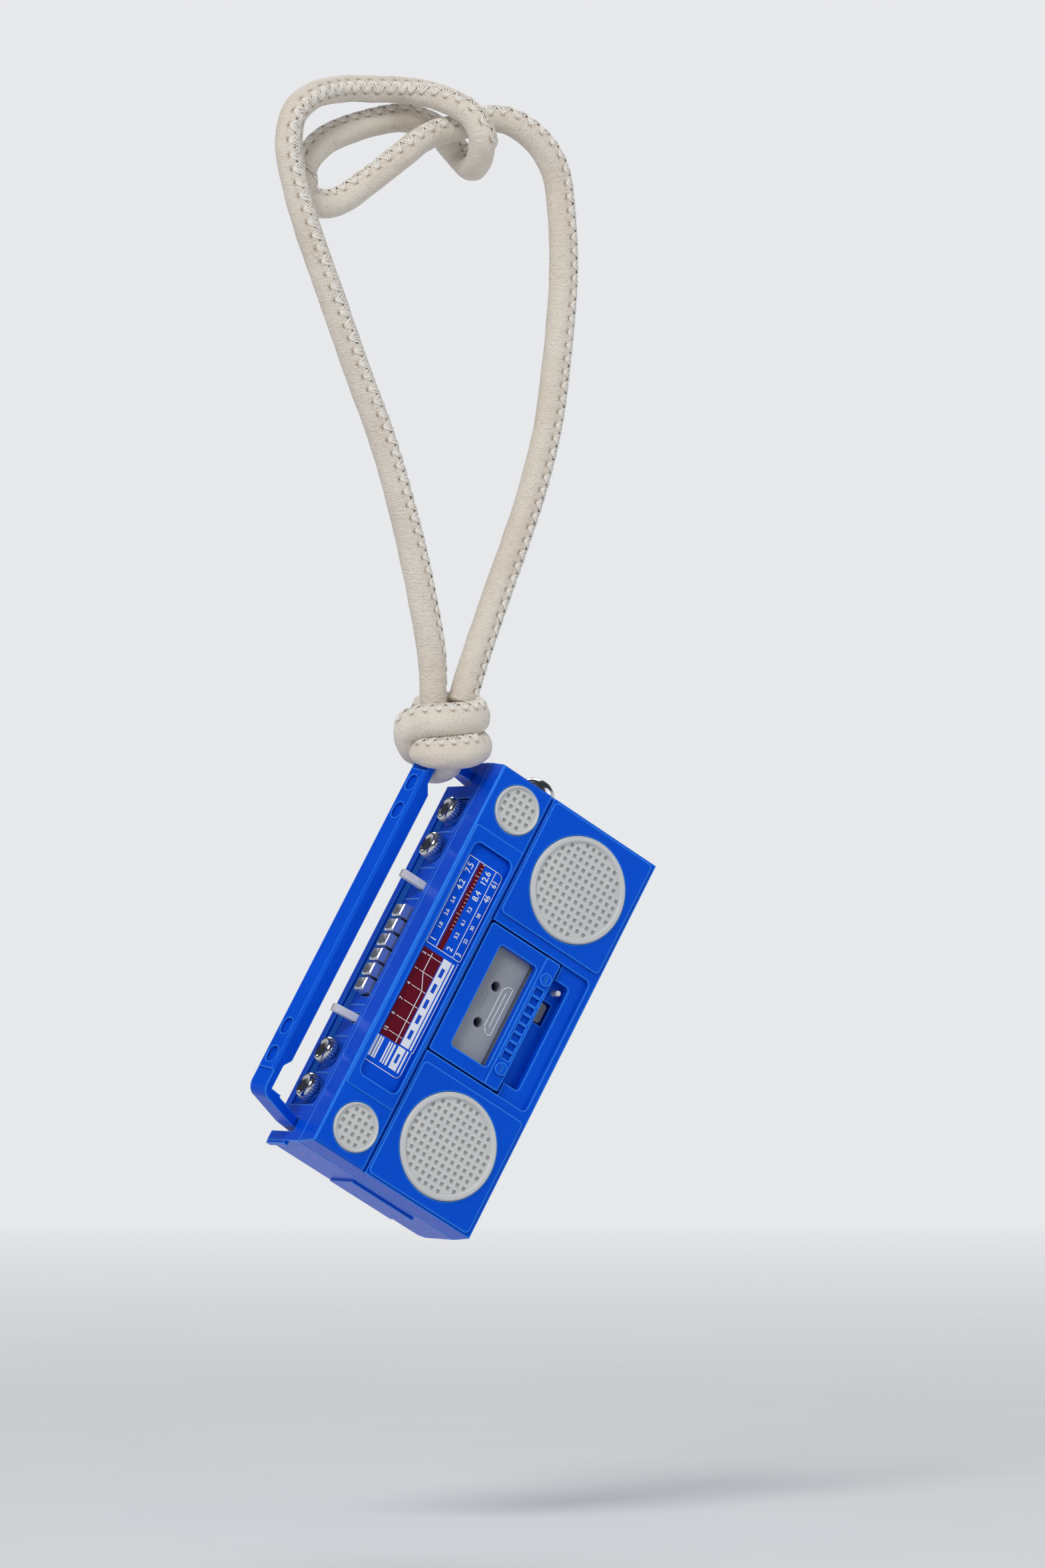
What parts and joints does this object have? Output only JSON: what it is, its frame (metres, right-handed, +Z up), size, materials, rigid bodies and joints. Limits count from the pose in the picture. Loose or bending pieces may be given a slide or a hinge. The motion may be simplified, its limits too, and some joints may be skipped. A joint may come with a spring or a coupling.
{
  "type": "leather portable radio",
  "caption": "Miniature radio cassette recorder with opening cassette door, piano keys, knobs and a hinged handle, hung from a knotted stitched leather loop.",
  "frame": {"origin": "the point where the leather loop bears on the strap it is hitched round, at the front of the loop's upper crossing", "axes": "+Z up with the charm hanging, +Y from the radio's front face to its rear face; the radio hangs with its long side turned 60 degrees up from +X"},
  "size_m": [0.0669, 0.0174, 0.1799],
  "materials": {
    "blue_plastic": "satin, moulded",
    "dial_print": "satin with printed marks",
    "grille_plastic": "matte",
    "cassette_plastic": "satin",
    "head_plastic": "satin",
    "pin_plastic": "satin",
    "knob_chrome": "polished",
    "key_chrome": "polished",
    "lever_metal": "rough",
    "screw_steel": "satin",
    "leather": "smooth, stitched"
  },
  "bodies": {
    "hanger": {"handle": "blue_plastic", "leather_loop": "leather", "leather_knot": "leather"},
    "cabinet": {"front_shell": "blue_plastic", "rear_shell": "blue_plastic", "control_deck": "blue_plastic", "dial_plate": "dial_print", "left_woofer_grille": "grille_plastic", "right_woofer_grille": "grille_plastic", "left_tweeter_grille": "grille_plastic", "right_tweeter_grille": "grille_plastic", "tape_head": "head_plastic", "guide_pin": "pin_plastic", "key_guide": "blue_plastic", "side_pin": "knob_chrome", "cabinet_screws": "screw_steel"},
    "door": {"cassette_door": "blue_plastic", "cassette": "cassette_plastic"},
    "outer_left_knob": {"outer_left_knob": "knob_chrome"},
    "inner_left_knob": {"inner_left_knob": "knob_chrome"},
    "inner_right_knob": {"inner_right_knob": "knob_chrome"},
    "outer_right_knob": {"outer_right_knob": "knob_chrome"},
    "left_lever": {"left_lever": "lever_metal"},
    "right_lever": {"right_lever": "lever_metal"},
    "side_knob": {"side_knob": "knob_chrome"},
    "key_1": {"key_1": "key_chrome"},
    "key_2": {"key_2": "key_chrome"},
    "key_3": {"key_3": "key_chrome"},
    "key_4": {"key_4": "key_chrome"},
    "key_5": {"key_5": "key_chrome"},
    "key_6": {"key_6": "key_chrome"}
  },
  "joints": [
    {"name": "handle_hinge", "type": "hinge", "parent": "hanger", "child": "cabinet", "pos_m": [0.00317, 0.0013, -0.13475], "axis": [0.5, 0, 0.866], "range_deg": [-2, 110]},
    {"name": "door_hinge", "type": "hinge", "parent": "cabinet", "child": "door", "pos_m": [0.02058, -0.0086, -0.1448], "axis": [0.5, 0, 0.866], "range_deg": [0, 42]},
    {"name": "outer_left_knob_turn", "type": "hinge", "parent": "cabinet", "child": "outer_left_knob", "pos_m": [-0.01137, -0.0014, -0.15464], "axis": [-0.866, 0, 0.5], "range_deg": [-135, 135]},
    {"name": "inner_left_knob_turn", "type": "hinge", "parent": "cabinet", "child": "inner_left_knob", "pos_m": [-0.00822, -0.0014, -0.14919], "axis": [-0.866, 0, 0.5], "range_deg": [-135, 135]},
    {"name": "inner_right_knob_turn", "type": "hinge", "parent": "cabinet", "child": "inner_right_knob", "pos_m": [0.00998, -0.0014, -0.11766], "axis": [-0.866, 0, 0.5], "range_deg": [-135, 135]},
    {"name": "outer_right_knob_turn", "type": "hinge", "parent": "cabinet", "child": "outer_right_knob", "pos_m": [0.01313, -0.0014, -0.11221], "axis": [-0.866, 0, 0.5], "range_deg": [-135, 135]},
    {"name": "left_lever_tilt", "type": "hinge", "parent": "cabinet", "child": "left_lever", "pos_m": [-0.00445, -0.0025, -0.14386], "axis": [0, 1, 0], "range_deg": [-5, 15]},
    {"name": "right_lever_tilt", "type": "hinge", "parent": "cabinet", "child": "right_lever", "pos_m": [0.00725, -0.0025, -0.12359], "axis": [0, 1, 0], "range_deg": [-10, 10]},
    {"name": "key_1_press", "type": "slide", "parent": "cabinet", "child": "key_1", "axis": [0.866, 0, -0.5], "range_m": [0, 0.0005], "stiffness_N_per_m": 60, "springref_m": -0.0002},
    {"name": "key_2_press", "type": "slide", "parent": "cabinet", "child": "key_2", "axis": [0.866, 0, -0.5], "range_m": [0, 0.0005], "stiffness_N_per_m": 60, "springref_m": -0.0002},
    {"name": "key_3_press", "type": "slide", "parent": "cabinet", "child": "key_3", "axis": [0.866, 0, -0.5], "range_m": [0, 0.0005], "stiffness_N_per_m": 60, "springref_m": -0.0002},
    {"name": "key_4_press", "type": "slide", "parent": "cabinet", "child": "key_4", "axis": [0.866, 0, -0.5], "range_m": [0, 0.0005], "stiffness_N_per_m": 60, "springref_m": -0.0002},
    {"name": "key_5_press", "type": "slide", "parent": "cabinet", "child": "key_5", "axis": [0.866, 0, -0.5], "range_m": [0, 0.0005], "stiffness_N_per_m": 60, "springref_m": -0.0002},
    {"name": "key_6_press", "type": "slide", "parent": "cabinet", "child": "key_6", "axis": [0.866, 0, -0.5], "range_m": [0, 0.0005], "stiffness_N_per_m": 60, "springref_m": -0.0002},
    {"name": "side_knob_turn", "type": "hinge", "parent": "cabinet", "child": "side_knob", "pos_m": [0.0259, -0.0036, -0.10919], "axis": [0.5, 0, 0.866], "range_deg": [-150, 150]}
  ]
}
